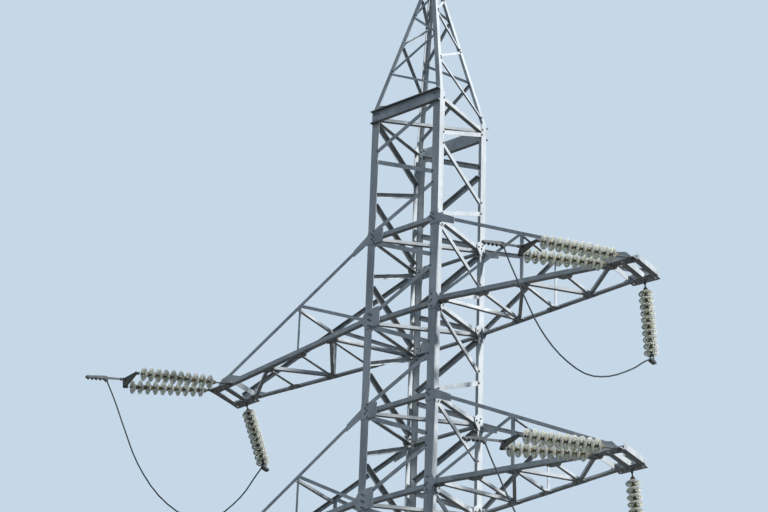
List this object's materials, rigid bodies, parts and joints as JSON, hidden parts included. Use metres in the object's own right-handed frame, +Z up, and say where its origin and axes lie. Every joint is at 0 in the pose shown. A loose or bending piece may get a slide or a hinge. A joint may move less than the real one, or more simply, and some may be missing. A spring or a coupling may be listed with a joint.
{
  "type": "lattice transmission pylon",
  "caption": "Tall square lattice steel tower with tapered body, narrow head, paired crossarms, insulator strings and hanging jumper loops",
  "frame": {"origin": "the tower's axis at ground level, under the middle of the four foot plates", "axes": "+Z up, X along the crossarms, -Y towards the line that the arms hold"},
  "size_m": [9.9825, 6.173, 30.6059],
  "materials": {
    "leg_steel": "dull galvanised",
    "brace_steel": "dull galvanised",
    "arm_steel": "dull galvanised",
    "beam_steel": "dull galvanised",
    "foot_steel": "dull galvanised",
    "disc_glass": "glossy toughened",
    "fitting_steel": "dull galvanised",
    "jumper_wire": "weathered stranded"
  },
  "bodies": {
    "root": {"feet": "foot_steel", "leg_front_left": "leg_steel", "leg_front_right": "leg_steel", "leg_back_right": "leg_steel", "leg_back_left": "leg_steel", "head_legs": "leg_steel", "base_frames": "brace_steel", "body_front": "brace_steel", "body_right": "brace_steel", "body_back": "brace_steel", "body_left": "brace_steel", "head_front": "brace_steel", "head_right": "brace_steel", "head_back": "brace_steel", "head_left": "brace_steel", "plan_bracing": "brace_steel", "top_beams": "beam_steel", "peak": "leg_steel", "arm_top_right": "arm_steel", "arm_top_left": "arm_steel", "arm_mid_right": "arm_steel", "arm_mid_left": "arm_steel", "arm_low_right": "arm_steel", "arm_low_left": "arm_steel", "ties_top": "arm_steel", "ties_mid": "arm_steel", "ties_low": "arm_steel", "discs_top_right": "disc_glass", "discs_top_left": "disc_glass", "discs_mid_right": "disc_glass", "discs_mid_left": "disc_glass", "discs_low_right": "disc_glass", "discs_low_left": "disc_glass", "fittings_top_right": "fitting_steel", "fittings_top_left": "fitting_steel", "fittings_mid_right": "fitting_steel", "fittings_mid_left": "fitting_steel", "fittings_low_right": "fitting_steel", "fittings_low_left": "fitting_steel", "jumper_top_right": "jumper_wire", "jumper_top_left": "jumper_wire", "jumper_mid_right": "jumper_wire", "jumper_mid_left": "jumper_wire", "jumper_low_right": "jumper_wire", "jumper_low_left": "jumper_wire"}
  },
  "joints": []
}
